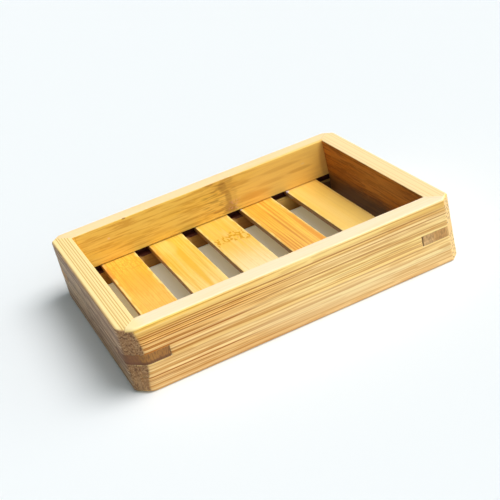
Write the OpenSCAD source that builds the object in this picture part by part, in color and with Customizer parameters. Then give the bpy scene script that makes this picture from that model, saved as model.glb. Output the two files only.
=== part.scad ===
// Bamboo soap dish: a mitred frame with keyed corners and a bed of slats set in grooves.
// Lengths are in millimetres. X runs along the long boards, Y from front to back, Z up.
// The origin lies on the table under the middle of the frame.

/* [Frame] */
// Length of the dish along its long boards
frame_l = 120; // [100:1:160]
// Depth of the dish along its short boards
frame_w = 90; // [70:1:120]
// Height of the boards
board_h = 23.6; // [20:0.2:36]
// Thickness of the boards
board_t = 7.2; // [6:0.2:9]
// Leg of the flat that is sanded across each outside corner
corner_leg = 2.2; // [2:0.1:6]

/* [Eased edges] */
// Width of the narrow flat that softens each upright edge beside a corner flat
arris_w = 0.7; // [0.6:0.1:1.6]
// Radius of the outer top and bottom edges of the frame
outer_edge_r = 0.75; // [0.3:0.05:1.2]
// Radius of the inner top and bottom edges of the frame
inner_edge_r = 0.4; // [0.2:0.05:0.8]
// Radius of the long edges of a slat
slat_edge_r = 0.4; // [0.1:0.05:0.6]

/* [Slats] */
// Width of a slat
slat_w = 14; // [11:0.5:16]
// Thickness of a slat
slat_t = 2.4; // [1.8:0.1:3.4]
// Height of the slats' undersides above the table
slat_z = 6.3; // [4.5:0.1:7]
// Depth of the groove that takes the ends of the slats
groove_d = 3; // [2:0.1:4]

/* [Corner keys] */
// Thickness of a key
key_t = 3.6; // [2.4:0.1:4.4]
// Height of the middle of the keys above the table
key_z = 11.8; // [11.4:0.1:16]
// Wood that stays between the floor of a key slot and the inside corner
key_web = 0.2; // [0.2:0.1:2]

/* [Clearances] */
// Play above a slat in its groove
slat_play = 0.3; // [0.05:0.05:0.5]
// Play between the end of a slat and the floor of its groove
slat_end_play = 0.3; // [0.1:0.05:0.6]
// Glue line on the upper and the lower side of a key
key_play = 0.05; // [0.05:0.05:0.2]
// Glue pocket between a key and the floor of its slot
key_pocket = 0.4; // [0.2:0.05:0.8]

/* [Hidden] */
$fn = 48;

// How far a cutting shape runs past what it cuts
overrun = 2;
// Faces of the frame, from its middle
face_x = frame_l / 2;
face_y = frame_w / 2;
// Free space inside the frame
inner_l = frame_l - 2 * board_t;
inner_w = frame_w - 2 * board_t;
// Distance between two corner flats that face each other
across_flats = (frame_l + frame_w - 2 * corner_leg) / sqrt(2);
// Turn between a face and the narrow flat beside it, and how far that flat lies under the old edge
arris_turn = 22.5;
arris_depth = arris_w / 2 * tan(arris_turn);
// Longer than any line in the plan of the frame
reach = frame_l + frame_w;

// Five slats with even gaps, each set by hand a little off its even place
slat_count = 5;
slat_gap = (inner_l - slat_count * slat_w) / (slat_count + 1);
slat_pitch = slat_w + slat_gap;
slat_drift_shares = [0.2, 0.15, 0.08, 0, 0.06];
slat_l = inner_w + 2 * (groove_d - slat_end_play);
groove_h = slat_t + slat_play;

// Depth of a key slot along the diagonal, from the corner where the faces would meet
slot_depth = board_t * sqrt(2) - key_web;
slot_h = key_t + 2 * key_play;
key_depth = slot_depth - key_pocket;

// What rounding takes off a square corner that points to the origin
module edge_waste(r) {
    difference() {
        translate([-overrun, -overrun]) square([r + overrun, r + overrun]);
        translate([r, r]) circle(r);
    }
}

// Upright rectangle on its base line, with one radius on the near corners and one on the far ones
module eased_section(w, h, near_r, far_r) {
    difference() {
        square([w, h]);
        edge_waste(near_r);
        translate([0, h]) mirror([0, 1]) edge_waste(near_r);
        translate([w, 0]) mirror([1, 0]) edge_waste(far_r);
        translate([w, h]) mirror([1, 0]) mirror([0, 1]) edge_waste(far_r);
    }
}

// Bar with that section across Y, drawn along X and centred on it
module bar_along_x(l, w, h, near_r, far_r) {
    rotate([90, 0, 90])
        translate([0, 0, -l / 2])
            linear_extrude(height = l)
                eased_section(w, h, near_r, far_r);
}

// Block between two parallel outer faces of the frame, turned about the upright axis
module faced_block(w, turn) {
    rotate([0, 0, turn])
        translate([0, -w / 2, 0])
            bar_along_x(reach, w, board_h, outer_edge_r, outer_edge_r);
}

// Puts what is drawn at the front right corner at the corner with these signs
module at_corner(sx, sy) {
    mirror([sx < 0 ? 1 : 0, 0, 0])
        mirror([0, sy > 0 ? 1 : 0, 0])
            children();
}

// Block between the narrow flats at two opposite corners, beside faces this far from the middle
module arris_block(half_l, half_w, turn) {
    half = half_l * sin(arris_turn) + half_w * cos(arris_turn) - arris_depth;
    faced_block(2 * half, turn);
}

// Outside of the frame: faces, corner flats and narrow flats, all with eased top and bottom edges
module outside() {
    intersection() {
        faced_block(frame_w, 0);
        faced_block(frame_l, 90);
        intersection_for(side = [-1, 1]) {
            faced_block(across_flats, 45 * side);
            arris_block(face_x - corner_leg, face_y, arris_turn * side);
            arris_block(face_y - corner_leg, face_x, (90 - arris_turn) * side);
        }
    }
}

// Plate across the front right corner, down to a depth along its diagonal
module corner_plate(depth, h) {
    translate([face_x, -face_y, key_z - h / 2])
        rotate([0, 0, 45])
            translate([-depth * 2, -depth, 0])
                cube([depth * 4, depth * 2, h]);
}

// Plan of the front board between its two mitres
module mitred_plan(half_l, half_w) {
    polygon([
        [-half_l, -half_w], [half_l, -half_w],
        [half_l - board_t - overrun, board_t + overrun - half_w],
        [board_t + overrun - half_l, board_t + overrun - half_w]
    ]);
}

// Board along X at the front of a frame with these half sizes, before its joints are cut
module board_blank(half_l, half_w) {
    intersection() {
        translate([0, -half_w, 0])
            bar_along_x(2 * half_l, board_t, board_h, outer_edge_r, inner_edge_r);
        linear_extrude(height = board_h) mitred_plan(half_l, half_w);
    }
}

module long_board() {
    difference() {
        intersection() {
            board_blank(face_x, face_y);
            outside();
        }
        translate([-face_x, board_t - face_y - groove_d, slat_z])
            cube([frame_l, groove_d + overrun, groove_h]);
        at_corner(1, -1) corner_plate(slot_depth, slot_h);
        at_corner(-1, -1) corner_plate(slot_depth, slot_h);
    }
}

module short_board() {
    difference() {
        intersection() {
            rotate([0, 0, 90]) board_blank(face_y, face_x);
            outside();
        }
        at_corner(1, -1) corner_plate(slot_depth, slot_h);
        at_corner(1, 1) corner_plate(slot_depth, slot_h);
    }
}

// Key at the front right corner, flush with both faces and with the flat between them
module corner_key() {
    intersection() {
        outside();
        corner_plate(key_depth, key_t);
    }
}

function slat_x(i) = (i - (slat_count + 1) / 2) * slat_pitch + slat_drift_shares[i - 1] * slat_gap;

module slat(i) {
    translate([slat_x(i), 0, slat_z])
        rotate([0, 0, 90])
            translate([0, -slat_w / 2, 0])
                bar_along_x(slat_l, slat_w, slat_t, slat_edge_r, slat_edge_r);
}

module front_board() { color("burlywood") long_board(); }
module back_board() { color("burlywood") mirror([0, 1, 0]) long_board(); }
module right_board() { color("wheat") short_board(); }
module left_board() { color("wheat") mirror([1, 0, 0]) short_board(); }
module key(sx, sy) { color("sienna") at_corner(sx, sy) corner_key(); }
module bed_slat(i) { color("goldenrod") slat(i); }

front_board();
back_board();
left_board();
right_board();
key(-1, -1);  // key_front_left
key(1, -1);  // key_front_right
key(-1, 1);  // key_back_left
key(1, 1);  // key_back_right
bed_slat(1);  // slat_1
bed_slat(2);  // slat_2
bed_slat(3);  // slat_3
bed_slat(4);  // slat_4
bed_slat(5);  // slat_5
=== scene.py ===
# %% [markdown]
# # A soap dish of keyed bamboo
#
# The real dish is a shallow tray of laminated bamboo, a hand's width long. Four boards meet in
# mitres at the corners. A thin key is let into a slot across each corner and sanded flush, and
# five slats lie in a groove along the two long boards, with gaps that let the water out.
#
# The construction is already measured and modelled, so this lesson is about the finish: how
# bamboo looks on its face, on its edge and at its cut ends, and how sanded corners catch light.

# %% Tools
import math
from collections import namedtuple
from functools import partial

import bmesh
import bpy
from mathutils import Matrix, Vector, noise


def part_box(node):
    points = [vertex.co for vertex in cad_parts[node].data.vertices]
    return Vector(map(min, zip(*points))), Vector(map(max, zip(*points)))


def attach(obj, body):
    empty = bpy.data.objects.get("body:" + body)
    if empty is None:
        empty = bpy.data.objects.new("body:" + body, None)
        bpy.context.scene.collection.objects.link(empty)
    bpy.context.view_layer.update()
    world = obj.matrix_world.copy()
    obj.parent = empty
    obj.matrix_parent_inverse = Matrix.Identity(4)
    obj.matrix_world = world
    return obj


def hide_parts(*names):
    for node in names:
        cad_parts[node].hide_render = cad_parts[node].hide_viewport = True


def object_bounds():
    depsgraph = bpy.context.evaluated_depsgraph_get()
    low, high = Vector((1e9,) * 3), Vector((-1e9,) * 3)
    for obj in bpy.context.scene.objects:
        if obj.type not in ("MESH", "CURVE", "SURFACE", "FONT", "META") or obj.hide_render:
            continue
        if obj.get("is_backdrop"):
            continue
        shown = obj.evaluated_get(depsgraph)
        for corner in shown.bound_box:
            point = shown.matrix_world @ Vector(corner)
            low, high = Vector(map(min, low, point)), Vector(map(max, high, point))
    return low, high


MM = 0.001

# %% [markdown]
# ## The measured model
#
# The model arrives as a fixed frame in metres. X runs along the long boards, Y from front to
# back and Z up, and the origin lies on the table under the middle of the dish. Its pieces are
# never moved. Sizes typed in a second time soon disagree, so what follows takes every size that
# it can from the boxes of these pieces.

# %% Load the frame and read its sizes
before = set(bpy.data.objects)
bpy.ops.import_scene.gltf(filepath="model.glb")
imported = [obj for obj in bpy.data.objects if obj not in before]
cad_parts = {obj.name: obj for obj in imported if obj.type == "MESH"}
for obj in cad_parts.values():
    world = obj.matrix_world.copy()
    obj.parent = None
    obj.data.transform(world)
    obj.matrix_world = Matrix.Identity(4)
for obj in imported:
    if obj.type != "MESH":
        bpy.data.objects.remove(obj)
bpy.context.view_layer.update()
front_low, front_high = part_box("front_board")
HALF_L = front_high.x
HALF_W = -front_low.y
BOARD_T = front_high.y - front_low.y
BOARD_H = front_high.z
print(f"dish {2 * HALF_L / MM:.1f} x {2 * HALF_W / MM:.1f} x {BOARD_H / MM:.1f} mm")
print(f"boards {BOARD_T / MM:.1f} mm thick, pieces: {', '.join(sorted(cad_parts))}")

# %% [markdown]
# ## The camera
#
# The dish is seen from above its front left corner through a long lens, with the camera tipped
# a little to the right. A camera can be dragged about until the view fits, but a view that is
# nearly right is hard to correct that way. So it is set by where it aims, from how far, and
# three angles. The lens comes from the focal length in pixels of a square picture.

# %% Camera
AIM = Vector((0.0, -3.3, 12.0)) * MM
DISTANCE = 388.5 * MM
TURNED = math.radians(17.22)
LOOKS_DOWN = math.radians(26.41)
ROLLED = math.radians(-14.57)
PICTURE_PX = 500
FOCAL_PX = 1094.7
SENSOR_MM = 36
NEAREST_SEEN = 10 * MM


def place_camera():
    """Makes the camera that looks along one line at AIM, rolled about that line."""
    data = bpy.data.cameras.new("camera")
    data.sensor_width = SENSOR_MM
    data.lens = FOCAL_PX / PICTURE_PX * SENSOR_MM
    data.clip_start = NEAREST_SEEN
    sight = Vector((
        math.sin(TURNED) * math.cos(LOOKS_DOWN),
        math.cos(TURNED) * math.cos(LOOKS_DOWN),
        -math.sin(LOOKS_DOWN),
    ))
    level = sight.cross(Vector((0, 0, 1))).normalized()
    upright = level.cross(sight)
    right = level * math.cos(ROLLED) + upright * math.sin(ROLLED)
    up = right.cross(sight)
    camera = bpy.data.objects.new("camera", data)
    turned = Matrix((right, up, -sight)).transposed().to_4x4()
    camera.matrix_world = Matrix.Translation(AIM - sight * DISTANCE) @ turned
    bpy.context.scene.collection.objects.link(camera)
    bpy.context.scene.camera = camera
    return camera


camera = place_camera()
print(f"camera at {tuple(round(c / MM) for c in camera.matrix_world.translation)} mm, "
      f"lens {camera.data.lens:.1f} mm")

# %% [markdown]
# ## Colours and nodes
#
# Colours are picked on a screen, so they are written as sRGB hex values. Shaders reckon in
# linear light, and one function turns the first into the second. Blender's own calls make a
# node, its settings and its links in many lines. A second function does all three in one call,
# so that a material reads as a list of what feeds what.

# %% Colour and node helpers
def linear(hex_colour):
    """Turns an sRGB colour such as "#E2B478" into the linear RGBA that a shader works in."""
    shares = [int(hex_colour[i:i + 2], 16) / 255 for i in (1, 3, 5)]
    # The curve of the sRGB standard, with the standard's own numbers
    return [s / 12.92 if s <= 0.04045 else ((s + 0.055) / 1.055) ** 2.4 for s in shares] + [1.0]


def add_node(tree, kind, inputs=None, stops=None, **settings):
    """Adds a node. inputs gives a socket a value, a hex colour, a node or an output of one."""
    node = tree.nodes.new(kind)
    for name, value in settings.items():
        setattr(node, name, value)
    for socket, value in (inputs or {}).items():
        if isinstance(value, bpy.types.Node):
            value = next(out for out in value.outputs if out.enabled)
        if isinstance(value, bpy.types.NodeSocket):
            tree.links.new(value, node.inputs[socket])
        else:
            hex_given = isinstance(value, str)
            node.inputs[socket].default_value = linear(value) if hex_given else value
    if stops:
        while len(node.color_ramp.elements) < len(stops):
            node.color_ramp.elements.new(1.0)
        for element, (position, colour) in zip(node.color_ramp.elements, stops):
            element.position = position
            element.color = linear(colour)
    return node


def new_material(name):
    """An empty material, and add_node ready to fill its tree."""
    material = bpy.data.materials.new(name)
    material.use_nodes = True
    material.node_tree.nodes.clear()
    return material, partial(add_node, material.node_tree)


# %% [markdown]
# ## Light and floor
#
# The dish was shot on bright paper beside a window. Area lamps could copy the room, but a sun
# lamp is simpler: it has a direction and a width, and no place. Two of them are enough. A soft
# key stands high on the right and draws the shadow, and a window as wide as a wall opens it from
# the front right. So the top and the front are bright, and the left side lies in shade.
#
# The paper does two jobs. It throws plain grey-white light back on the wood, and where one looks
# at it, it has the cool white of the photo. Inside the tray it is painted with a little extra
# glow, an emission that stands in for the light that the real room shines down through the gaps.
# The room itself is nearly dark, as its light would fill the shadow again, but it shows the same
# cool white behind the dish.

# %% Lamps
LAMPS = {  # direction that the light comes from, strength, width of the source, tone
    "soft_key": ((0.485, -0.185, 0.854), 2.1, math.radians(40), "#FFF8F2"),
    "window": ((0.465, -0.563, 0.683), 2.34, math.radians(112), "#F8FFFB"),
}

for name, (source, strength, width, tone) in LAMPS.items():
    data = bpy.data.lights.new(name, "SUN")
    data.energy = strength
    data.angle = width
    data.color = linear(tone)[:3]
    lamp = bpy.data.objects.new(name, data)
    lamp.rotation_euler = Vector(source).to_track_quat("Z", "Y").to_euler()
    bpy.context.scene.collection.objects.link(lamp)
print("lamps:", ", ".join(LAMPS))

# %% Room
ROOM_STRENGTH = 0.012
ROOM_TONE = "#C8FFE8"
PAPER_SEEN = "#F0F5FC"


def seen_directly(add):
    """1 where the camera, a reflection or a clear material looks, 0 where light only bounces."""
    rays = add("ShaderNodeLightPath").outputs
    seen = add("ShaderNodeMath", {0: rays["Is Camera Ray"], 1: rays["Is Glossy Ray"]},
               operation="MAXIMUM")
    return add("ShaderNodeMath", {0: seen, 1: rays["Is Transmission Ray"]}, operation="MAXIMUM")


def make_the_room():
    """Weak light from all round, and a white background where one looks at it."""
    world = bpy.data.worlds.new("room")
    world.use_nodes = True
    world.node_tree.nodes.clear()
    add = partial(add_node, world.node_tree)
    room = add("ShaderNodeBackground", {"Color": ROOM_TONE, "Strength": ROOM_STRENGTH})
    white = add("ShaderNodeBackground", {"Color": PAPER_SEEN, "Strength": 1.0})
    mixed = add("ShaderNodeMixShader", {0: seen_directly(add), 1: room, 2: white})
    add("ShaderNodeOutputWorld", {"Surface": mixed})
    bpy.context.scene.world = world
    bpy.context.scene.view_settings.view_transform = "Standard"


make_the_room()
print("room light:", ROOM_STRENGTH)

# %% Floor
PAPER_THROWS = "#E8E8E4"
PAPER_GLOW = "#F6E0AC"
GLOW_SHARE = 0.26
FLOOR_SPAN = 6.0


def paper():
    """Matt pale paper, which gives no reflections and keeps the shadow of the dish."""
    material, add = new_material("pale_paper")
    x, y, _ = add("ShaderNodeSeparateXYZ", {
        0: add("ShaderNodeTexCoord").outputs["Object"]}).outputs
    # Painted light: inside the tray the paper glows a little, as an emission, for light that
    # falls through the gaps.
    glow = GLOW_SHARE
    for place, half in ((x, HALF_L - BOARD_T), (y, HALF_W - BOARD_T)):
        off = add("ShaderNodeMath", {0: place}, operation="ABSOLUTE")
        within = add("ShaderNodeMath", {0: off, 1: half}, operation="LESS_THAN")
        glow = add("ShaderNodeMath", {0: within, 1: glow}, operation="MULTIPLY")
    lit = add("ShaderNodeBsdfDiffuse", {"Color": PAPER_SEEN})
    glowing = add("ShaderNodeEmission", {"Color": PAPER_GLOW, "Strength": 1.0})
    shown = add("ShaderNodeMixShader", {0: glow, 1: lit, 2: glowing})
    thrown = add("ShaderNodeBsdfDiffuse", {"Color": PAPER_THROWS})
    mixed = add("ShaderNodeMixShader", {0: seen_directly(add), 1: thrown, 2: shown})
    add("ShaderNodeOutputMaterial", {"Surface": mixed})
    return material


def lay_the_floor():
    """One wide square under the dish, which is stage and not part of it."""
    mesh = bpy.data.meshes.new("floor")
    half = FLOOR_SPAN / 2
    corners = [(-half, -half, 0), (half, -half, 0), (half, half, 0), (-half, half, 0)]
    mesh.from_pydata(corners, [], [(0, 1, 2, 3)])
    mesh.materials.append(paper())
    floor = bpy.data.objects.new("floor", mesh)
    bpy.context.scene.collection.objects.link(floor)
    floor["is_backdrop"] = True


lay_the_floor()
print(f"floor: {FLOOR_SPAN:.0f} m wide")

# %% [markdown]
# ## How bamboo is drawn
#
# Bamboo has no growth rings. It is a pale ground with hard brown fibre bundles that run its
# whole length, each a third of a millimetre thick. On a face they are fine parallel lines, and
# on a cut end they are specks. A line thinner than a pixel would only flicker, so the lines are
# drawn up to twice as thick as they are, and fewer.
#
# A Wave texture could rule such lines, but all of them alike and evenly apart, so four masks
# draw the wood. Strands are parallel lines at uneven heights, each with a strength of its own.
# Streaks are noise drawn out along the grain. A band is one straight line, and a spot is one
# single mark. They work in a space of their own in millimetres. On a board, u runs along the
# grain, v from the outer face inwards, and w is the height above the table. A colour is then
# built like paint. Each coat is a mask, which says where, and a tone.

# %% Kinds of streaks and lines
# A kind of streak has a number that is added to a piece's seed, so that no two kinds fall
# together, its length, depth and width in millimetres, the noise values at which a streak
# starts and is full, its share, and how ragged it is. High noise values leave few streaks.
Streaks = namedtuple("Streaks", "draw size low high share detail", defaults=(1.0, 0.0))

# A kind of line has such a number, its pitch and half its width in millimetres
Lines = namedtuple("Lines", "draw pitch half_width")

NOISE_STEP = (7.3, 3.1, 1.7)  # how far one step of a seed moves a noise
LINES_STEP = 13.7  # and how many millimetres it lifts a set of lines
UNEVEN = 0.9  # 0 spaces the lines evenly, 1 leaves it all to chance
FAINT, STRONG = 0.15, 0.55  # random values of the last line left out and the first at full share
LINE_CORE, BAND_CORE = 0.4, 0.5  # share of the half width over which a line or band is full


# %% Masks
def grain_space(add, turn, reach=0.0):
    """Object coordinates in millimetres, turned so that the grain runs along u."""
    return add("ShaderNodeMapping", {
        "Vector": add("ShaderNodeTexCoord").outputs["Object"],
        "Scale": (1 / MM, 1 / MM, 1 / MM),
        "Rotation": (0, 0, turn),
        "Location": (0, reach / MM, 0),
    })


def streaks(add, place, kind, seed, share=1.0):
    """A mask of soft patches of one kind."""
    drawn_out = add("ShaderNodeMapping", {
        "Vector": place,
        "Scale": tuple(1 / side for side in kind.size),
        "Location": tuple((seed + kind.draw) * step for step in NOISE_STEP),
    })
    clouds = add("ShaderNodeTexNoise", {
        "Vector": drawn_out, "Scale": 1.0, "Detail": kind.detail})
    return add("ShaderNodeMapRange", {
        "Value": clouds, "From Min": kind.low, "From Max": kind.high,
        "To Max": kind.share * share,
    }, interpolation_type="SMOOTHSTEP")


def band(add, value, centre, half_width, share=1.0):
    """A mask that is share where value is at centre and fades to 0 at half_width from it."""
    off = add("ShaderNodeMath", {0: value, 1: centre}, operation="SUBTRACT")
    off = add("ShaderNodeMath", {0: off}, operation="ABSOLUTE")
    return add("ShaderNodeMapRange", {
        "Value": off, "From Min": half_width, "From Max": half_width * BAND_CORE,
        "To Max": share,
    }, interpolation_type="SMOOTHSTEP")


def overlap(add, mask, *others):
    """A mask of what all of these masks leave, one thinned by the next."""
    for other in others:
        mask = add("ShaderNodeMath", {0: mask, 1: other}, operation="MULTIPLY")
    return mask


def strands(add, height, kind, seed, share=1.0):
    """A mask of parallel lines at uneven heights. Each line has a strength of its own."""
    lifted = add("ShaderNodeMath", {0: height, 1: (seed + kind.draw) * LINES_STEP},
                 operation="ADD")
    nearest = add("ShaderNodeTexVoronoi", {
        "W": lifted, "Scale": 1 / kind.pitch, "Randomness": UNEVEN}, voronoi_dimensions="1D")
    strength = add("ShaderNodeMapRange", {
        "Value": nearest.outputs["Color"], "From Min": FAINT, "From Max": STRONG,
        "To Max": share})
    rim = kind.half_width / kind.pitch
    line = add("ShaderNodeMapRange", {
        "Value": nearest.outputs["Distance"], "From Min": rim, "From Max": rim * LINE_CORE})
    return overlap(add, line, strength)


def spots(add, place, marks):
    """A coat for each single mark, an ellipsoid around one place that is soft at its rim."""
    for at, half_size, share, tone in marks:
        off = add("ShaderNodeVectorMath", {0: place, 1: at}, operation="SUBTRACT")
        off = add("ShaderNodeVectorMath", {0: off, 1: half_size}, operation="DIVIDE")
        off = add("ShaderNodeVectorMath", {0: off}, operation="LENGTH")
        yield band(add, off, centre=0.0, half_width=1.0, share=share), tone


# %% Coats and skin
MIX_SHARE, MIX_UNDER, MIX_OVER = 0, 6, 7  # the sockets of a colour Mix node


def painted(add, ground, *coats):
    """Lays coats of a mask and a tone over a ground, one after the other."""
    for mask, tone in coats:
        ground = add("ShaderNodeMix", {MIX_SHARE: mask, MIX_UNDER: ground, MIX_OVER: tone},
                     data_type="RGBA", clamp_factor=True)
    return ground


def wood_skin(add, colour, roughness, ior, relief, relief_mm, strength):
    """Wood as the lamps meet it: a colour, a gloss and a shallow relief."""
    bump = add("ShaderNodeBump", {
        "Height": relief, "Distance": relief_mm * MM, "Strength": strength})
    skin = add("ShaderNodeBsdfPrincipled", {
        "Base Color": colour, "Roughness": roughness, "IOR": ior, "Normal": bump})
    add("ShaderNodeOutputMaterial", {"Surface": skin})


# %% [markdown]
# ## The boards
#
# Each board is pressed from strips that stand on edge. Its outer face shows their sides, dense
# with fine brown lines in bands of their own tone, darker at one end than at the other. Its top
# shows their narrow edges and is nearly plain cream. The inner face is a golden amber with soft
# streaks. On the corner flats the grain is cut across. There the bundles are dark clots between
# worm-like pale flecks, or small round dots.
#
# Every face could have a material of its own, but it would then end in a hard line on the eased
# edges. So one material holds them all, chooses by the direction of the surface and lets them
# melt into each other. Noise gives the right kind of lines but not the very ones that one
# notices first, so these are named one by one, as a grainer draws them last with a fine brush.

# %% Outer faces of the boards
# Real bundles are 0.3 mm thick and real fibres are finer. Both are drawn coarser, so they show.
SWAY = Streaks(0, (90, 9, 30), 0.3, 0.7)
PALE_STRIPS = Streaks(1, (90, 6, 1.1), 0.48, 0.66)
BROWN_STRIPS = Streaks(8, (70, 4, 1.6), 0.5, 0.68)
FIBRES = Lines(2, 0.95, 0.26)
FIBRE_BREAKS = Streaks(7, (28, 4, 0.9), 0.2, 0.5)
SHORT_FIBRES = Streaks(5, (9, 1.5, 0.6), 0.54, 0.66)
BUNDLES = Lines(3, 1.05, 0.3)
BUNDLE_CROWDS = Streaks(4, (120, 6, 2.6), 0.28, 0.5)
BUNDLE_BREAKS = Streaks(6, (32, 4, 1.1), 0.25, 0.45)
NEAR_TONES_TO, FAR_TONES_FROM = -22.0, 14.0  # u, between which the tones of the ends mix
CALM_TO, BUSY_FROM = 4.0, 12.0  # heights, between which the bundles gain strength
CROWN_FROM, CROWN_FULL = 20.2, 20.6  # heights, between which they end under the sanded crown


def lined_face(add, place, u, w, look, seed):
    """Sides of the strips: tone bands, fine fibres, strong bundles and named long lines."""
    sway = streaks(add, place, SWAY, seed, look["sway_mm"])
    height = add("ShaderNodeMath", {0: w, 1: sway}, operation="ADD")
    up = add("ShaderNodeMath", {0: height, 1: BOARD_H / MM}, operation="DIVIDE")
    far = add("ShaderNodeMapRange", {
        "Value": u, "From Min": NEAR_TONES_TO, "From Max": FAR_TONES_FROM,
    }, interpolation_type="SMOOTHSTEP")
    bundles = overlap(
        add, strands(add, height, BUNDLES, seed, look["bundle_share"]),
        streaks(add, place, BUNDLE_CROWDS, seed),
        add("ShaderNodeMapRange", {"Value": far, "To Min": 1.0, "To Max": look["far_lines"]}),
        add("ShaderNodeMapRange", {
            "Value": w, "From Min": CALM_TO, "From Max": BUSY_FROM,
            "To Min": look["low_lines"]}),
        add("ShaderNodeMapRange", {"Value": w, "From Min": CROWN_FULL, "From Max": CROWN_FROM}),
        streaks(add, place, BUNDLE_BREAKS, seed),
    )
    fibres = overlap(add, strands(add, height, FIBRES, seed, look["fibre_share"]),
                     streaks(add, place, FIBRE_BREAKS, seed))
    face = painted(
        add, add("ShaderNodeValToRGB", {0: up}, stops=look["near_strips"]),
        (far, add("ShaderNodeValToRGB", {0: up}, stops=look["far_strips"])),
        (streaks(add, place, PALE_STRIPS, seed, look["strip_share"]), look["pale"]),
        (streaks(add, place, BROWN_STRIPS, seed, look["strip_share"]), look["fibre"]),
        (fibres, look["fibre"]),
        (streaks(add, place, SHORT_FIBRES, seed, look["short_share"]), look["fibre"]),
        (bundles, look["dark"]),
    )
    for line_height, half_width, share, start, stop in look["lines"]:
        there = band(add, u, (start + stop) / 2, (stop - start) / 2, share)
        line = band(add, height, line_height + look["sway_mm"] / 2, half_width)
        face = painted(add, face, (overlap(add, there, line), look["dark"]))
    return face


# %% Inner faces of the boards
PALE_CLOUDS = Streaks(0, (34, 9, 4), 0.42, 0.62, share=0.5)
AMBER_STREAKS = Streaks(1, (13, 3, 0.75), 0.46, 0.64, share=0.6, detail=1.0)
AMBER_CLOUDS = Streaks(7, (26, 4, 1.8), 0.5, 0.68, share=0.35, detail=1.0)
PALE_TICKS = Streaks(2, (2.4, 2, 0.5), 0.6, 0.7, share=0.3)
NODE_ZIGZAG = Streaks(3, (9, 5, 3.5), 0.3, 0.7, share=1.6)  # its share is in millimetres along u
NODE_DASHES = Streaks(4, (3.6, 2, 0.7), 0.48, 0.7)
NODE_SPECKS = Streaks(5, (0.8, 2, 0.6), 0.56, 0.64)


def node_of_the_culm(add, place, u, w, face, look, seed):
    """A jagged joint across the grain: a brown band, dashes beside it and pale specks in it."""
    zigzag = streaks(add, place, NODE_ZIGZAG, seed)
    along = add("ShaderNodeMath", {0: u, 1: zigzag}, operation="ADD")

    def past_node(distance, half_width, share=1.0):
        """A band across the grain at this distance past the node."""
        return band(add, along, look["node_at"] + distance, half_width, share)

    dashes = overlap(add, streaks(add, place, NODE_DASHES, seed),
                     past_node(distance=6.5, half_width=8.5, share=0.5))
    specks = overlap(add, streaks(add, place, NODE_SPECKS, seed),
                     band(add, w, centre=11.5, half_width=3.2, share=0.8),
                     past_node(distance=1.2, half_width=3.0))
    return painted(
        add, face,
        (dashes, look["node"]),
        (past_node(distance=2.6, half_width=3.4, share=0.25), look["node"]),
        (specks, look["node_speck"]),
    )


def inner_face(add, place, u, w, look, seed):
    """The face towards the soap: amber, streaked, with a node where the culm had a joint."""
    shade_from, shade_full = look["low_shade_span"]
    face = painted(
        add, look["inner"],
        (streaks(add, place, PALE_CLOUDS, seed), look["inner_pale"]),
        (streaks(add, place, AMBER_STREAKS, seed), look["inner_dark"]),
        (streaks(add, place, AMBER_CLOUDS, seed), look["inner_dark"]),
        (streaks(add, place, PALE_TICKS, seed), look["inner_pale"]),
        # Painted shade: the face is painted darker towards its foot, where the slats shade it.
        (add("ShaderNodeMapRange", {
            "Value": w, "From Min": shade_from, "From Max": shade_full,
            "To Max": look["low_shade_share"],
        }, interpolation_type="SMOOTHSTEP"), look["low"]),
    )
    return node_of_the_culm(add, place, u, w, face, look, seed) if "node_at" in look else face


# %% Cut ends
# Real pores and flecks are half as large. These are as small as the render can show.
WORMS = Streaks(0, (1.2, 1.2, 1.0), 0.0, 1.0, detail=1.0)
CLOTS = Streaks(1, (0.9, 0.9, 0.8), 0.57, 0.66, share=0.75)
DOT_RIM, DOT_CORE, DOT_SHARE = 0.31, 0.17, 0.8  # both radii are shares of the dots' spacing


def cut_end(add, place, end, seed):
    """Bundles cut across: worm-like pale flecks, and pores as clots or as small round dots."""
    if "dots_mm" in end:
        _, v, w = add("ShaderNodeSeparateXYZ", {0: place}).outputs
        nearest = add("ShaderNodeTexVoronoi", {
            "Vector": add("ShaderNodeCombineXYZ", {"X": v, "Y": w}),
            "Scale": 1 / end["dots_mm"]}, voronoi_dimensions="2D").outputs["Distance"]
        pores = add("ShaderNodeMapRange", {
            "Value": nearest, "From Min": DOT_RIM, "From Max": DOT_CORE, "To Max": DOT_SHARE})
    else:
        pores = streaks(add, place, CLOTS, seed)
    # Where a noise crosses its middle value, it draws thin lines that curl like worms
    worms = band(add, streaks(add, place, WORMS, seed), centre=0.5, half_width=0.07, share=0.7)
    return painted(add, end["ground"], (worms, end["fleck"]), (pores, end["pore"]))


# %% [markdown]
# ### Which face is which
#
# The surface normal, turned like the grain, tells the four faces apart. Two more things follow
# the place and not the face. The glue line of the mitre is a hair wide and a little darker.
# Inside the groove the wood is painted near-black as shade, since no light comes back from it.

# %% Shares of the faces
# A face starts to show where the normal has turned this far towards it, and shows fully at the
# second value. The last pair keeps the end grain off the crown.
INNER_TURN = (0.35, 0.75)
TOP_TURN = (0.62, 0.9)
END_TURN = (0.3, 0.5)
OFF_CROWN_TURN = (0.5, 0.15)
# Between these heights the groove is painted dark, as shade.
GROOVE_LOW, GROOVE_HIGH = 5.6, 9.02  # heights in millimetres between which the wood is dark
NO_GROOVE = 99.0
GROOVE_DEPTH = 3.6  # depth behind the outer face from which wood belongs to the groove


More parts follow.
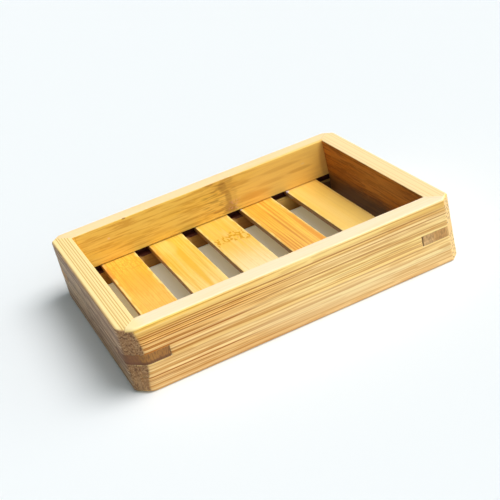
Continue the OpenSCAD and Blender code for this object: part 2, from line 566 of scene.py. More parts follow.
def faces_shown(add, turn):
    """The shares of inner face, top and cut end at a point, from the way that it faces."""
    facing = add("ShaderNodeMapping", {
        "Vector": add("ShaderNodeNewGeometry").outputs["Normal"], "Rotation": (0, 0, turn),
    }, vector_type="VECTOR")
    along, inward, upward = add("ShaderNodeSeparateXYZ", {0: facing}).outputs
    along = add("ShaderNodeMath", {0: along}, operation="ABSOLUTE")
    upward = add("ShaderNodeMath", {0: upward}, operation="ABSOLUTE")
    inner, top, end, off_crown = (
        add("ShaderNodeMapRange", {"Value": value, "From Min": start, "From Max": full})
        for value, (start, full) in (
            (inward, INNER_TURN), (upward, TOP_TURN), (along, END_TURN),
            (upward, OFF_CROWN_TURN)))
    return inner, top, overlap(add, end, off_crown)


def mitre_line(add, u, v, half_length):
    """The glue line, which lies as far from the board's end as from its outer face."""
    # A real one is 0.1 mm wide. This one is drawn wider, so it shows.
    from_end = add("ShaderNodeMath", {0: u}, operation="ABSOLUTE")
    from_end = add("ShaderNodeMath", {0: half_length / MM, 1: from_end}, operation="SUBTRACT")
    off_mitre = add("ShaderNodeMath", {0: from_end, 1: v}, operation="SUBTRACT")
    return band(add, off_mitre, centre=0.0, half_width=0.14, share=0.35)


def in_the_groove(add, v, w, groove_from):
    """1 in the groove, 0 elsewhere."""
    return overlap(add, *(
        add("ShaderNodeMath", {0: value, 1: limit}, operation=test)
        for value, test, limit in (
            (w, "GREATER_THAN", groove_from), (w, "LESS_THAN", GROOVE_HIGH),
            (v, "GREATER_THAN", GROOVE_DEPTH))))


# %% Board finish
TOP_CLOUDS = Streaks(8, (22, 2.2, 3), 0.5, 0.66, share=0.4, detail=1.0)
TOP_LINES_DRAW, TOP_LINE_HALF = 9, 0.26
SANDED_GRAIN = Streaks(2, (60, 1.2, 1.2), 0.3, 0.7)
INNER_DRAW, LEFT_END_DRAW, RIGHT_END_DRAW = 5, 10, 12


def board_finish(name, turn, reach, half_length, look, seed):
    """Edge-pressed bamboo, sanded and oiled."""
    material, add = new_material(name)
    place = grain_space(add, turn, reach)
    u, v, w = add("ShaderNodeSeparateXYZ", {0: place}).outputs
    is_inner, is_top, is_end = faces_shown(add, turn)
    top_lines = Lines(TOP_LINES_DRAW, look["top_line_mm"], TOP_LINE_HALF)
    top = painted(
        add, look["top"],
        (streaks(add, place, TOP_CLOUDS, seed), look["top_cloud"]),
        (strands(add, v, top_lines, seed, look["top_share"]), look["top_dark"]),
    )
    left_end, right_end = look["ends"]
    end = painted(
        add, cut_end(add, place, left_end, seed + LEFT_END_DRAW),
        (add("ShaderNodeMath", {0: u, 1: 0.0}, operation="GREATER_THAN"),
         cut_end(add, place, right_end, seed + RIGHT_END_DRAW)),
    )
    colour = painted(
        add, lined_face(add, place, u, w, look, seed),
        (is_inner, inner_face(add, place, u, w, look, seed + INNER_DRAW)),
        (is_top, top),
        (is_end, end),
        (mitre_line(add, u, v, half_length), look["dark"]),
        # Painted shade: the inside of the groove is painted near-black.
        (in_the_groove(add, v, w, look["groove_from"]), look["groove"]),
        *spots(add, place, look["marks"]),
    )
    # Thin oil on sanded wood: a broad dull sheen, broken by the faint relief of the grain
    wood_skin(add, colour, roughness=0.6, ior=1.4, strength=0.15, relief_mm=0.05,
              relief=streaks(add, place, SANDED_GRAIN, seed))
    return material


# %% [markdown]
# ### Four boards, four looks
#
# No two boards came from the same culm. A look is a dictionary of tones, shares and marks, and a
# board that differs from another in part is a copy of its look with some entries changed, which
# is easier to keep in step than four full lists. A share says how strongly a coat covers. Some
# tones are painted shade: the left board's outer face, the end grain of the corners on the left,
# the groove and the foot of the inner faces.
#
# The tones of the strips are listed by height, from 0 at the foot to 1 at the crown, and the
# darker tone at the foot is partly painted shade where the board meets the table. A line has its
# height, half its width, a share, and where it starts and stops along u. A mark is a soft spot
# with its place, half its size, a share and a tone. Marks are painted last: worn crowns, nicks,
# single streaks and the node's dark smudges, and also painted light and shade: patches of light
# on the lips under the groove, painted light on the right half of the back wall and on the foot
# of the shaded corner flats, painted shade in the back wall's right corner, and a painted shadow
# in the hole beside the outer slat.

# %% Front board
# The end grain of the corners on the left is painted darker, as shade: SHADED_END. LIT_END is
# its lit copy, with round pores, for the corners on the right.
SHADED_END = dict(ground="#9C734E", fleck="#CAA476", pore="#64412A")
LIT_END = dict(ground="#EEC88A", fleck="#F8D294", pore="#704618", dots_mm=1.2)
FRONT = dict(
    # The darker tone at the foot of the strips is partly painted shade where the board meets the
    # table.
    near_strips=[
        (0.0, "#C2946A"), (0.07, "#F2C886"), (0.25, "#F8D492"), (0.33, "#FADA9C"),
        (0.45, "#F0C880"), (0.54, "#F8D08A"), (0.68, "#FED286"), (0.8, "#FACA76"),
        (0.88, "#FFDA82"), (0.94, "#FCCA5E"), (1.0, "#FFDC72"),
    ],
    far_strips=[
        (0.0, "#D9AC78"), (0.07, "#F8D294"), (0.28, "#FAE2A8"), (0.36, "#FFDC98"),
        (0.47, "#FFDC90"), (0.585, "#FFE49C"), (0.71, "#FFDE98"), (0.8, "#FFE0A4"),
        (0.88, "#FFDA86"), (0.95, "#FFDC82"), (1.0, "#FFECA8"),
    ],
    sway_mm=0.5, pale="#FFE6AC", strip_share=0.35, fibre="#CA8630", fibre_share=0.7,
    dark="#B06000", bundle_share=1.0, low_lines=0.45, far_lines=0.55, short_share=0.3,
    lines=[
        (20.4, 0.33, 0.8, -70, 75), (19.7, 0.25, 0.85, -75, -20), (18.9, 0.28, 0.95, -75, 12),
        (17.6, 0.25, 0.95, -75, -5), (16.9, 0.25, 0.85, -75, -15), (16.0, 0.28, 0.75, -30, 44),
        (15.2, 0.25, 0.85, -75, -25), (13.9, 0.38, 0.9, -75, -8), (12.2, 0.25, 0.65, -70, -20),
        (11.0, 0.28, 0.75, -75, -18), (5.4, 0.30, 0.85, -75, -12), (4.3, 0.25, 0.75, -75, -24),
        (9.2, 0.22, 0.5, 0, 50), (18.2, 0.22, 0.5, 14, 66), (14.9, 0.22, 0.45, 20, 62),
        (17.2, 0.20, 0.45, 10, 62), (12.6, 0.20, 0.4, 5, 45), (7.0, 0.20, 0.35, -10, 40),
    ],
    top="#FFEAC7", top_cloud="#FFE0AE", top_dark="#F6DDA6", top_share=0.25, top_line_mm=1.6,
    inner="#F2C858", inner_dark="#CE9232", inner_pale="#F6D26C",
    # The lip below the groove is painted darker brown, as shade.
    low="#94561C", low_shade_share=0.8, low_shade_span=(6.5, 6.2),
    # The groove is painted near-black, as shade.
    ends=(SHADED_END, LIT_END), groove="#441404", groove_from=GROOVE_LOW,
    marks=[
        ((10.0, 0.0, 6.0), (38.0, 4.0, 5.0), 0.3, "#F8DEAC"),
        ((-58.5, 3.5, 23.6), (9.0, 9.0, 1.2), 0.75, "#FFE9A8"),
        ((-43.3, 7.6, 23.6), (1.3, 0.5, 0.5), 0.6, "#FFFBEA"),
        # Painted light: the foot of the shaded corner flat is painted lighter.
        ((-59.0, 0.0, 3.5), (2.8, 2.8, 6.5), 0.55, "#BE9A72"),
    ],
)

# %% Back board
LIT_LIPS = (31.6, 11.6, -8.4, -28.4)  # where light through the gaps between the slats falls on the lip under the groove
BACK = dict(
    FRONT, top="#FFE1AE", top_cloud="#FFD796", top_dark="#F2CD8C", node_at=-12.0,
    node="#A0642A", node_speck="#E8B284", ends=(LIT_END, SHADED_END),
    marks=[
        # Painted light: the right half of the inner face is painted paler where the right
        # board's shadow falls.
        ((-52.0, 7.2, 16.0), (50.0, 2.0, 20.0), 0.75, "#FFD270"),
        ((-20.0, 7.2, 12.6), (10.0, 1.0, 1.7), 0.4, "#DB962E"),
        ((-33.0, 7.2, 19.2), (11.0, 1.0, 1.1), 0.33, "#CF8E36"),
        ((-41.0, 7.2, 15.6), (7.0, 1.0, 0.9), 0.42, "#C98A34"),
        ((-28.0, 7.2, 15.2), (8.0, 1.0, 1.0), 0.3, "#DB9A3A"),
        ((-15.0, 7.2, 19.4), (6.0, 1.0, 1.3), 0.33, "#D08E34"),
        ((-8.2, 7.2, 20.6), (2.2, 1.0, 2.6), 0.35, "#8A5420"),
        ((-9.7, 7.2, 15.6), (1.6, 1.0, 4.4), 0.35, "#97602C"),
        ((-9.4, 7.2, 11.4), (3.0, 1.0, 2.4), 0.4, "#A4643A"),
        ((-42.8, 7.2, 17.3), (1.1, 1.0, 0.5), 0.8, "#F8D287"),
        ((39.8, 7.2, 17.9), (0.7, 1.0, 0.5), 0.8, "#F6CE9A"),
        ((32.2, 7.2, 23.3), (1.1, 0.7, 0.4), 0.7, "#8A5A2A"),
        # Painted shade in the right corner of the inner face.
        ((-52.6, 7.2, 14.0), (3.4, 1.6, 12.0), 0.5, "#B48C50"),
        # Painted shadow: the dark hole between the outer slat and the right board.
        ((-50.0, 7.2, 3.4), (8.0, 2.0, 4.4), 0.95, "#3C1606"),
        # Painted light: patches of light on the lips under the groove, between the slats.
        *(((u, 7.2, 4.4), (2.9, 1.0, 2.6), 0.75, "#DDAA62") for u in LIT_LIPS),
    ],
)

# %% Short boards
# The short boards have no groove. Their inner faces are painted darker from 13 mm down, as the
# slats' shade.
SHORT_BOARD = dict(FRONT, low="#5A4028", low_shade_share=0.7, low_shade_span=(13.0, 6.0),
                   groove_from=NO_GROOVE)
RIGHT = dict(
    SHORT_BOARD, top="#FFE3AC", top_cloud="#FFDFA0", top_dark="#E6BC78", top_share=0.45,
    # The inner face faces away from the lamps, and its darker brown is partly painted shade.
    top_line_mm=1.2, inner="#BC782A", inner_dark="#7A4210", inner_pale="#DA984A",
    ends=(LIT_END, LIT_END),
    marks=[
        ((-0.4, 7.2, 14.0), (1.0, 1.0, 0.5), 0.7, "#C99A5A"),
        ((-18.0, 7.2, 19.0), (1.0, 1.0, 0.5), 0.6, "#C99A5A"),
        ((-4.0, 7.2, 18.0), (34.0, 1.5, 11.0), 0.6, "#D89C50"),
    ],
)
LEFT = dict(
    SHORT_BOARD, top="#FFE9A8", top_cloud="#FFE2A2", top_dark="#D8A24A", top_share=0.75,
    # The outer face lies in shade, and its tones are painted darker and greyer, as shade.
    top_line_mm=0.8, pale="#DCC29A", strip_share=1.0, fibre="#86644C", short_share=0.75,
    dark="#65483A", bundle_share=0.8, far_lines=1.0, low_lines=1.0, lines=[],
    near_strips=[(0.0, "#7A583C"), (0.06, "#BE9C72"), (0.4, "#DCBE98"), (0.85, "#CCAA92"),
                 (1.0, "#D9AE7A")],
    far_strips=[(0.0, "#6A4A38"), (0.06, "#B48E60"), (0.4, "#CEA87E"), (0.85, "#BC9476"),
                (1.0, "#D4A46E")],
    ends=(SHADED_END, SHADED_END),
    # Painted light: the foot of the shaded corner flat is painted lighter.
    marks=[((44.0, 0.0, 3.5), (2.8, 2.8, 6.5), 0.55, "#BE9A72")],
)

# %% Finishes of the four boards
BOARDS = {  # how far the grain is turned, in degrees, and the look
    "front": (0, FRONT), "right": (-90, RIGHT), "back": (180, BACK), "left": (90, LEFT)}
LONG_BOARDS = ("front", "back")
BOARD_SEED, BOARD_SEED_STEP = 1, 20

board_finishes = {}
for number, (side, (turn, look)) in enumerate(BOARDS.items()):
    reach, half_length = (HALF_W, HALF_L) if side in LONG_BOARDS else (HALF_L, HALF_W)
    board_finishes[side] = board_finish(
        f"oiled_bamboo_{side}", math.radians(turn), reach, half_length, look,
        BOARD_SEED + BOARD_SEED_STEP * number)
print("board finishes:", ", ".join(m.name for m in board_finishes.values()))

# %% [markdown]
# ## The slats
#
# A slat is one broad strip laid flat. Its bundles show as soft stripes along it, and no two
# slats came from the same culm: one is amber, one greenish, one has a node across it. The plane
# took the colour off their long top edges, which read as pale lines, and their sides are brown.
#
# The boards' finish would put lines in bands on them, which flat strips don't have. So the slats
# get one of their own from the same masks, and five looks. The strongest stripes, smears and
# nicks of the real slats are marks again, long spots painted last, and one small mark is a
# painted highlight on a corner.

# %% Slat faces
# Laid flat, the bundles are wider and fainter. The fine lines are drawn coarser, so they show.
BROAD_STRIPES = Streaks(0, (70, 2.6, 4), 0.4, 0.6)
SOFT_CLOUDS = Streaks(5, (12, 4, 4), 0.45, 0.65, share=0.35, detail=1.0)
STRIPES = Streaks(1, (55, 0.9, 3), 0.5, 0.64)
SPECKLE = Streaks(11, (3.2, 0.9, 3), 0.48, 0.66, detail=1.0)
FINE_LINES = Lines(2, 1.0, 0.22)
FINE_LINE_SWAY = Streaks(8, (60, 20, 20), 0.2, 0.8, share=1.6)  # in millimetres across the slat
PALE_THREADS = Streaks(9, (30, 0.8, 3), 0.58, 0.7, share=0.6)
NODE_WAVER = Streaks(3, (7, 3, 3), 0.3, 0.7, share=3.0)  # in millimetres along the slat
NODE_TICKS = Streaks(4, (1.5, 0.9, 2), 0.46, 0.56)
PALES_OVER = 30  # millimetres in which a slat pales towards its front end


def slat_face(add, place, u, v, look, seed):
    """Soft stripes along the slat, paler at its front end, and a node where it has one."""
    pales = add("ShaderNodeMapRange", {
        "Value": u, "From Min": look["pale_from"], "From Max": look["pale_from"] - PALES_OVER,
        "To Max": look["pale_share"],
    }, interpolation_type="SMOOTHSTEP")
    across = add("ShaderNodeMath", {0: v, 1: streaks(add, place, FINE_LINE_SWAY, seed)},
                 operation="ADD")
    face = painted(
        add, look["ground"],
        (streaks(add, place, BROAD_STRIPES, seed), look["second"]),
        (streaks(add, place, SOFT_CLOUDS, seed), look["second"]),
        (streaks(add, place, STRIPES, seed, look["stripe_share"]), look["stripe"]),
        (pales, look["pale"]),
        (streaks(add, place, SPECKLE, seed, look["speckle_share"]), look["stripe"]),
        (strands(add, across, FINE_LINES, seed, look["fine_share"]), look["stripe"]),
        (streaks(add, place, PALE_THREADS, seed, look["fine_share"]), look["pale"]),
    )
    if "node_at" not in look:
        return face
    waver = streaks(add, place, NODE_WAVER, seed)
    along = add("ShaderNodeMath", {0: u, 1: waver}, operation="ADD")
    node = band(add, along, look["node_at"], look["node_reach"], look["node_share"])
    ticks = overlap(add, streaks(add, place, NODE_TICKS, seed), node)
    return painted(add, face, (ticks, look["node"]))


# %% Slat finish
PLANE_MARKS = Streaks(7, (40, 0.5, 3), 0.3, 0.7)
RAGGED_EDGE = Streaks(6, (5, 30, 30), 0.3, 0.7, share=0.7)  # in millimetres across the slat
WORN_FROM, WORN_FULL = 6.3, 7.1  # millimetres from the middle line of the slat
WORN_TONE, WORN_SHARE = "#FFE290", 0.8
SIDE_FROM, SIDE_FULL = 0.75, 0.35  # how far up the normal points where the side starts, is full
SIDE_TONE = "#A87A3A"


def slat_finish(name, middle_x, look, seed):
    """Flat-pressed bamboo, planed and oiled. u runs towards the back, v towards the left."""
    material, add = new_material(name)
    place = grain_space(add, math.radians(-90), middle_x)
    u, v, _ = add("ShaderNodeSeparateXYZ", {0: place}).outputs
    upward = add("ShaderNodeSeparateXYZ", {
        0: add("ShaderNodeNewGeometry").outputs["Normal"]}).outputs["Z"]
    is_side = add("ShaderNodeMapRange", {
        "Value": upward, "From Min": SIDE_FROM, "From Max": SIDE_FULL})
    off_middle = add("ShaderNodeMath", {0: v}, operation="ABSOLUTE")
    off_middle = add("ShaderNodeMath", {
        0: off_middle, 1: streaks(add, place, RAGGED_EDGE, seed)}, operation="ADD")
    worn = add("ShaderNodeMapRange", {
        "Value": off_middle, "From Min": WORN_FROM, "From Max": WORN_FULL,
        "To Max": WORN_SHARE,
    }, interpolation_type="SMOOTHSTEP")
    colour = painted(
        add, slat_face(add, place, u, v, look, seed),
        (worn, WORN_TONE),
        (is_side, SIDE_TONE),
        *spots(add, place, look["marks"]),
    )
    # Oil on planed wood: the smooth face takes a little more light from the lamps than a board
    wood_skin(add, colour, roughness=0.5, ior=1.5, strength=0.2, relief_mm=0.03,
              relief=streaks(add, place, PLANE_MARKS, seed))
    return material


# %% Finishes of the five slats
TOP = 8.7  # height of the slats' faces above the table, in millimetres
# second is the tone of the broad stripes, and pale is that of the front end, from pale_from on
AMBER = dict(
    ground="#FCBE3C", second="#FDC64C", stripe="#DA9428", stripe_share=0.5, fine_share=0.4,
    speckle_share=0.22, pale="#FCC25E", pale_share=0.7, pale_from=22, node="#D99A2A",
    node_at=31.0, node_reach=7.0, node_share=0.5,
    marks=[((14.0, 0.5, TOP), (15.0, 7.0, 3.0), 0.35, "#DE9A24"),
           ((30.0, 6.6, TOP), (12.0, 1.0, 1.5), 0.5, "#D88A3C")],
)
GREENISH = dict(
    ground="#FBC644", second="#F8CC5C", stripe="#E6B02A", stripe_share=0.6, fine_share=0.45,
    speckle_share=0.15, pale="#FEDE98", pale_share=0.6, pale_from=15,
    marks=[((12.0, -0.6, TOP), (40.0, 1.6, 4.0), 0.8, "#EEB62E"),
           ((5.0, 3.8, TOP), (30.0, 0.6, 4.0), 0.6, "#ECB232"),
           ((31.0, 1.5, TOP), (9.0, 3.6, 2.0), 0.3, "#FFDC8A"),
           ((28.0, 6.4, TOP), (14.0, 1.1, 3.0), 0.6, "#E8A23A")],
)
NODED = dict(
    ground="#FBC44C", second="#FAC85C", stripe="#EBB344", stripe_share=0.35, fine_share=0.3,
    speckle_share=0.12, pale="#FFECB8", pale_share=0.9, pale_from=15, node="#DC9C00",
    node_at=19.5, node_reach=5.0, node_share=1.0,
    marks=[],
)
ORANGE = dict(
    ground="#FCCA50", second="#FCC248", stripe="#E28C26", stripe_share=0.6, fine_share=0.5,
    speckle_share=0.12, pale="#FBC76C", pale_share=0.4, pale_from=10,
    marks=[((-6.0, -5.4, TOP), (34.0, 1.3, 4.0), 0.8, "#EC9A30"),
           ((10.0, 0.2, TOP), (26.0, 0.5, 4.0), 0.7, "#D98A24"),
           ((-6.0, 5.7, TOP), (24.0, 0.5, 4.0), 0.8, "#E08C2C"),
           ((-7.0, 4.5, TOP), (22.0, 0.4, 4.0), 0.8, "#E08C2C"),
           ((-8.0, 3.4, TOP), (20.0, 0.4, 4.0), 0.8, "#E08C2C"),
           ((-9.0, 2.3, TOP), (18.0, 0.4, 4.0), 0.7, "#E08C2C"),
           ((30.0, 3.2, TOP), (12.0, 4.0, 2.0), 0.5, "#F4AC34"),
           # Painted highlight on the back-left corner
           ((37.6, 6.8, TOP), (0.8, 0.8, 0.9), 0.9, "#FFE0D0"),
           ((27.0, -6.9, 8.5), (1.2, 0.7, 0.6), 0.9, "#FFEAD6")],
)
SMOOTH = dict(
    ground="#FFCF62", second="#FFD270", stripe="#E8B050", stripe_share=0.12, fine_share=0.12,
    speckle_share=0.05, pale="#FFD87A", pale_share=0.5, pale_from=15,
    marks=[((20.0, -6.4, TOP), (40.0, 1.0, 3.0), 0.5, "#E2A84A"),
           ((37.4, 6.7, TOP), (1.3, 1.1, 1.2), 1.0, "#E4D8EC"),
           ((34.0, 7.0, 7.6), (3.4, 0.5, 1.0), 0.7, "#B9A894")],
)
SLAT_SEED, SLAT_SEED_STEP = 90, 7

slat_finishes = []
for number, look in enumerate((AMBER, GREENISH, NODED, ORANGE, SMOOTH), 1):
    low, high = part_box(f"slat_{number}")
    slat_finishes.append(slat_finish(
        f"oiled_bamboo_slat_{number}", (low.x + high.x) / 2, look,
        SLAT_SEED + SLAT_SEED_STEP * number))
print("slat finishes:", ", ".join(m.name for m in slat_finishes))

# %% [markdown]
# ## The keys
#
# The keys are cut from steamed, darker bamboo. Their grain runs across the corner, so that it
# bridges the mitre, and both faces of the frame cut through it at a slant. A darker copy of the
# boards' finish would give them long lines that they can't have, so theirs has short, slightly
# sunken fibres over patches of tone. A veil of its own tone lies on the corner flat.

# %% Key finish
# Cut at a slant, each fibre is a short dash, drawn about twice as thick as it is
KEY_FIBRES = Streaks(0, (0.5, 0.3, 1.8), 0.46, 0.62, detail=1.0)
KEY_CLOUDS = Streaks(1, (4, 3, 1.4), 0.48, 0.62, share=0.5)
# The dark lower edge is painted shade of the thin gap under the key in its slot.
KEY_LINE_AT, KEY_LINE_HALF = 10.2, 1.0  # height and half width of the dark lower edge


def key_finish(name, turn, look, seed):
    """Steamed bamboo, cut at a slant and sanded flush. u runs across the corner."""
    material, add = new_material(name)
    place = grain_space(add, turn)
    u, _, w = add("ShaderNodeSeparateXYZ", {0: place}).outputs
    fibres = streaks(add, place, KEY_FIBRES, seed, look["fibre_share"])
    ground = look["ground"]
    for start, full, share, tone in look["parts"]:
        part = add("ShaderNodeMapRange", {
            "Value": u, "From Min": start, "From Max": full, "To Max": share})
        ground = painted(add, ground, (part, tone))
    flat_at, flat_half, flat_share = look["flat"]
    colour = painted(
        add, ground,
        (streaks(add, place, KEY_CLOUDS, seed), look["second"]),
        (fibres, look["dark"]),
        # Painted shade along the key's lower edge
        (band(add, w, KEY_LINE_AT, KEY_LINE_HALF, look["line_share"]), look["line"]),
        (band(add, u, flat_at, flat_half, flat_share), look["flat_tone"]),
    )
    # Steamed wood takes little oil: it stays dull, and its torn fibres lie a little deeper
    wood_skin(add, colour, roughness=0.6, ior=1.5, strength=0.2, relief_mm=-0.05, relief=fibres)
    return material


# %% Finishes of the four keys
# A part is where it starts and is full along u, its share and its tone. The flat is where it
# lies along u, half its width and its share.
DARKER = dict(
    ground="#A4702F", second="#8E5A28", dark="#744A24", fibre_share=0.75,
    line="#6A4020", line_share=0.8, parts=[(-12.4, -13.6, 0.9, "#6A4428")],
    flat=(-11.4, 3.4, 0.6), flat_tone="#7C4E34",
)
PALER = dict(
    ground="#CA985A", second="#B88A50", dark="#8C6438", fibre_share=0.5,
    line="#9C7040", line_share=0.3, parts=[(4.4, 3.4, 0.8, "#E4BC88")],
    flat=(10.6, 3.6, 0.85), flat_tone="#F0C684",
)
HIDDEN_DARKER = dict(DARKER, parts=[], flat_tone="#A4702F")
HIDDEN_PALER = dict(PALER, parts=[], flat=(-10.6, 3.6, 0.5))
KEYS = {  # how far the grain is turned, in degrees, and the look
    "front_left": (45, DARKER), "front_right": (-45, PALER),
    "back_left": (-45, HIDDEN_PALER), "back_right": (45, HIDDEN_DARKER)}
KEY_SEED, KEY_SEED_STEP = 201, 10

key_finishes = {}
for number, (corner, (turn, look)) in enumerate(KEYS.items()):
    key_finishes[corner] = key_finish(
        f"steamed_bamboo_{corner}", math.radians(turn), look, KEY_SEED + KEY_SEED_STEP * number)
print("key finishes:", ", ".join(m.name for m in key_finishes.values()))

# %% [markdown]
# ## Boards and keys with hand-sanded corners
#
# The boards come off a saw with crisp edges, and a person softens them on a belt sander. The
# measured solids hold the flat across each corner. What they lack is the hand in it: flats that
# lean, arrises that melt into the faces, and a rounded foot where the belt ran off the end. A
# Bevel modifier could round the edges, but every corner alike and each piece on its own.
#
# Sanding only ever takes wood away, so it can be written as one rule that moves a point inwards
# if it stands proud of the sanded shape. The rule looks at nothing but where the point is, so
# boards and keys that are flush before it are flush after it. It needs points to move, and a
# measured mesh has few, so its copy is first joined up and scored with parallel cuts.

# %% Sanding rule
CORNER_FLATS = {  # leg of the flat at the foot, a third of the way up and at the top of each
    # corner, how soft its arrises are, and the rounding of its foot and of its crown, all in
    # millimetres
    (-1, -1): (2.3, 4.3, 3.0, 1.3, 2.2, 1.6),
    (1, -1): (2.4, 2.5, 2.4, 0.3, 0.2, 0.9),
    (-1, 1): (2.7, 2.7, 2.6, 0.4, 0.6, 0.5),
    (1, 1): (2.8, 2.9, 2.7, 0.4, 0.6, 0.5),
}
FLAT_WANDER, FLAT_WAVE = 0.12 * MM, 3 * MM
EDGE_WANDER, EDGE_WAVE = 0.16 * MM, 7 * MM
EDGE_REACH = 1.0 * MM


def nearness(distance):
    """1 on an edge, falling softly to 0 at EDGE_REACH from it."""
    share = max(0.0, 1 - abs(distance) / EDGE_REACH)
    return share * share * (3 - 2 * share)


def off_the_end(rise, radius):
    """How far a rounding of this radius has turned away at this height above its foot."""
    left = max(0.0, radius - max(0.0, rise))
    return radius - math.sqrt(radius * radius - left * left)


def leg_at(rise, foot, third, top):
    """Leg of a corner flat at a height, on the parabola through its three given legs."""
    up = 3 * rise / BOARD_H
    bend = foot / 6 - third / 4 + top / 12
    return foot + (third - foot) * up + bend * 2 * up * (up - 1)


def sanded(point):
    """Where a point of the frame lies after sanding. It moves inwards or stays."""
    side = Vector((math.copysign(1, point.x), math.copysign(1, point.y)))
    from_end, from_face = HALF_L - abs(point.x), HALF_W - abs(point.y)

    # The long edges waver by as much as a hand does
    edge = max(nearness(point.z), nearness(BOARD_H - point.z))
    wander = EDGE_WANDER * edge * (0.5 + 0.5 * noise.noise(point / EDGE_WAVE))
    outer_x, outer_y = nearness(from_end), nearness(from_face)
    inner_x, inner_y = nearness(from_end - BOARD_T), nearness(from_face - BOARD_T)
    moved = point.copy()
    moved.x -= side.x * wander * (outer_x - inner_x) / 2
    moved.y -= side.y * wander * (outer_y - inner_y) / 2
    up = 1 if point.z > BOARD_H / 2 else -1
    moved.z -= up * wander * max(outer_x, outer_y, inner_x, inner_y) / 2

    # The flat cuts off what stands proud of it, and starts softly beside its arrises
    foot, third, top, arris, foot_r, crown_r = CORNER_FLATS[(side.x, side.y)]
    soft = arris * MM
    depth = leg_at(point.z, foot, third, top) * MM / math.sqrt(2)
    depth += off_the_end(point.z, foot_r * MM) + off_the_end(BOARD_H - point.z, crown_r * MM)
    depth += FLAT_WANDER * noise.noise(Vector((side.x, side.y, point.z / FLAT_WAVE)))
    proud = depth - (from_end + from_face) / math.sqrt(2)
    push = proud if proud > soft else max(0.0, proud + soft) ** 2 / (4 * soft)
    moved.x -= side.x * push / math.sqrt(2)
    moved.y -= side.y * push / math.sqrt(2)
    return moved


# %% Scored and sanded copies
WELD = 0.001 * MM
SCORE_CORNER = 0.5 * MM
SCORE_EDGE = 2.5 * MM
CORNER_ZONE = 8.5 * MM


def steps(start, stop, pitch):
    """Evenly pitched places after start and before stop."""
    return [start + pitch * k for k in range(1, math.ceil((stop - start) / pitch))]


def near_both_ends(half):
    """Closely pitched places in the corner zones at both ends of a length."""
    return [end * (half - d) for end in (-1, 1) for d in steps(0, CORNER_ZONE, SCORE_CORNER)]


def sanded_mesh(node, material):
    """A joined, scored and sanded copy of a measured piece's mesh."""
    work = bmesh.new()
    work.from_mesh(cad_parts[node].data)
    bmesh.ops.remove_doubles(work, verts=work.verts, dist=WELD)
    low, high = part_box(node)
    cuts = (
        near_both_ends(HALF_L) + steps(low.x, high.x, SCORE_EDGE),
        near_both_ends(HALF_W) + steps(low.y, high.y, SCORE_EDGE),
        steps(0, BOARD_H, SCORE_CORNER),
    )
    for axis, places in enumerate(cuts):
        for place in places:
            if low[axis] < place < high[axis]:
                plane = Vector((0, 0, 0))
                plane[axis] = 1
                bmesh.ops.bisect_plane(
                    work, geom=work.verts[:] + work.edges[:] + work.faces[:],
                    dist=WELD / 10, plane_co=plane * place, plane_no=plane,
                )
    for vertex in work.verts:
        vertex.co = sanded(vertex.co)
    mesh = bpy.data.meshes.new(node)
    work.to_mesh(mesh)
    work.free()
    mesh.materials.append(material)
    return mesh


# %% Boards and keys in their places
SMOOTH_BELOW = math.radians(32)


def finished(mesh, name, node):
    """Shades a mesh, and puts it on the body in place of its measured node."""
    for polygon in mesh.polygons:
        polygon.use_smooth = True
    mesh.set_sharp_from_angle(angle=SMOOTH_BELOW)
    rough = bpy.data.objects.new(name, mesh)
    bpy.context.scene.collection.objects.link(rough)
    shading = rough.modifiers.new("even_shading", "WEIGHTED_NORMAL")
    shading.keep_sharp = True
    depsgraph = bpy.context.evaluated_depsgraph_get()
    shaded = bpy.data.meshes.new_from_object(rough.evaluated_get(depsgraph))
    rough.modifiers.clear()
    rough.data = shaded
    shaded.name = name
    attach(rough, "root")
    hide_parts(node)
    print(f"{name}: {len(shaded.vertices)} points")


for side in ("front", "back", "left", "right"):
    mesh = sanded_mesh(f"{side}_board", board_finishes[side])
    finished(mesh, f"{side}_board_wood", f"{side}_board")
for corner, material in key_finishes.items():
    mesh = sanded_mesh(f"key_{corner}", material)
    finished(mesh, f"key_{corner}_wood", f"key_{corner}")

# %% [markdown]
# ## Slats by Geometry Nodes
#
# Five slats of one size differ only in place, tone and how the plane ran along them. Copies of
# one bevelled box would be alike to the last dent, so one node tree makes them all. It draws the
# section of a slat, rounds its corners, sweeps it along the length and lets the planed surface
# wander by about a tenth of a millimetre. Each slat fills the named inputs of the tree with
# sizes from its own measured node and a seed.

# %% Slat tree
SLAT_INPUTS = {
    "Length": "Float", "Width": "Float", "Thickness": "Float", "Edge radius": "Float",
    "Wander": "Float", "Stations": "Int", "Seed": "Float", "Middle": "Vector",
    "Finish": "Material"}
EDGE_CUTS = 4
RIPPLES_PER_MM = 0.12


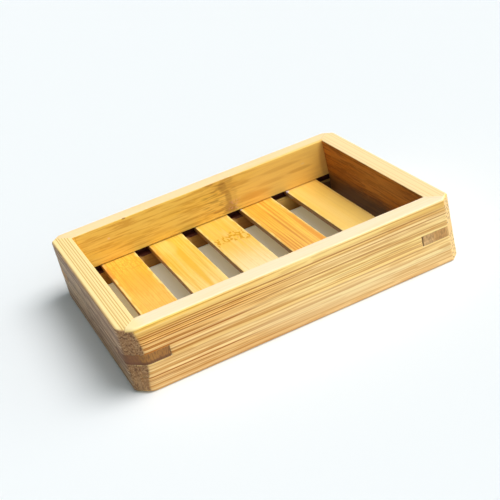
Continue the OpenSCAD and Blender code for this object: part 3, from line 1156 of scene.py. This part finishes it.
def slat_tree():
    """A planed bar along Y: a rounded rectangle swept along a line."""
    tree = bpy.data.node_groups.new("planed_slat", "GeometryNodeTree")
    for name, kind in SLAT_INPUTS.items():
        tree.interface.new_socket(name, in_out="INPUT", socket_type=f"NodeSocket{kind}")
    tree.interface.new_socket("Slat", in_out="OUTPUT", socket_type="NodeSocketGeometry")
    add = partial(add_node, tree)
    given = add("NodeGroupInput").outputs
    section = add("GeometryNodeCurvePrimitiveQuadrilateral",
                  {"Width": given["Width"], "Height": given["Thickness"]}, mode="RECTANGLE")
    eased = add("GeometryNodeFilletCurve", {
        "Curve": section, "Count": EDGE_CUTS, "Radius": given["Edge radius"]}, mode="POLY")
    half = add("ShaderNodeMath", {0: given["Length"], 1: 0.5}, operation="MULTIPLY")
    back = add("ShaderNodeMath", {0: half, 1: -1.0}, operation="MULTIPLY")
    line = add("GeometryNodeCurvePrimitiveLine", {
        "Start": add("ShaderNodeCombineXYZ", {"Y": back}),
        "End": add("ShaderNodeCombineXYZ", {"Y": half}),
    })
    stations = add("GeometryNodeResampleCurve", {"Curve": line, "Count": given["Stations"]})
    bar = add("GeometryNodeCurveToMesh",
              {"Curve": stations, "Profile Curve": eased, "Fill Caps": True})
    ripple = add("ShaderNodeTexNoise", {
        "Vector": add("GeometryNodeInputPosition"), "W": given["Seed"],
        "Scale": RIPPLES_PER_MM / MM, "Detail": 1.0,
    }, noise_dimensions="4D")
    inwards = add("ShaderNodeMath", {0: ripple, 1: given["Wander"]}, operation="MULTIPLY")
    inwards = add("ShaderNodeMath", {0: inwards, 1: -1.0}, operation="MULTIPLY")
    offset = add("ShaderNodeVectorMath", {0: add("GeometryNodeInputNormal"), "Scale": inwards},
                 operation="SCALE")
    planed = add("GeometryNodeSetPosition", {"Geometry": bar, "Offset": offset})
    placed = add("GeometryNodeTransform", {"Geometry": planed, "Translation": given["Middle"]})
    single = add("GeometryNodeRealizeInstances", {"Geometry": placed})
    dressed = add("GeometryNodeSetMaterial", {"Geometry": single, "Material": given["Finish"]})
    add("NodeGroupOutput", {"Slat": dressed})
    return tree


planed_slat = slat_tree()
print(f"slat tree: {len(planed_slat.nodes)} nodes, {len(SLAT_INPUTS)} inputs")

# %% Five slats
SLAT_EDGE_R = 0.45 * MM
SLAT_WANDER = 0.12 * MM
SLAT_STATIONS = 72


def slat_mesh(tree, node, material, seed):
    """Runs the tree for one measured slat and keeps the result as a plain mesh."""
    low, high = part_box(node)
    size, middle = high - low, (low + high) / 2
    values = {
        "Length": size.y, "Width": size.x, "Thickness": size.z, "Edge radius": SLAT_EDGE_R,
        "Wander": SLAT_WANDER, "Stations": SLAT_STATIONS, "Seed": seed,
        "Middle": tuple(middle), "Finish": material,
    }
    carrier = bpy.data.objects.new(node + "_carrier", bpy.data.meshes.new(node + "_carrier"))
    bpy.context.scene.collection.objects.link(carrier)
    modifier = carrier.modifiers.new("planed_slat", "NODES")
    modifier.node_group = tree
    for item in tree.interface.items_tree:
        if item.in_out == "INPUT":
            modifier[item.identifier] = values[item.name]
    depsgraph = bpy.context.evaluated_depsgraph_get()
    mesh = bpy.data.meshes.new_from_object(carrier.evaluated_get(depsgraph))
    bpy.data.objects.remove(carrier)
    return mesh


for number, material in enumerate(slat_finishes, 1):
    mesh = slat_mesh(planed_slat, f"slat_{number}", material, float(number))
    finished(mesh, f"slat_{number}_wood", f"slat_{number}")

# %% [markdown]
# ## The size of the finished pieces
#
# A finish must not change the size of the thing. By eye a tenth of a millimetre doesn't show, so
# the box of all finished pieces is printed.

# %% Print the size of the finished pieces
low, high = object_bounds()
print("visual box", [round(c * 1000, 2) for c in (*low, *high)])
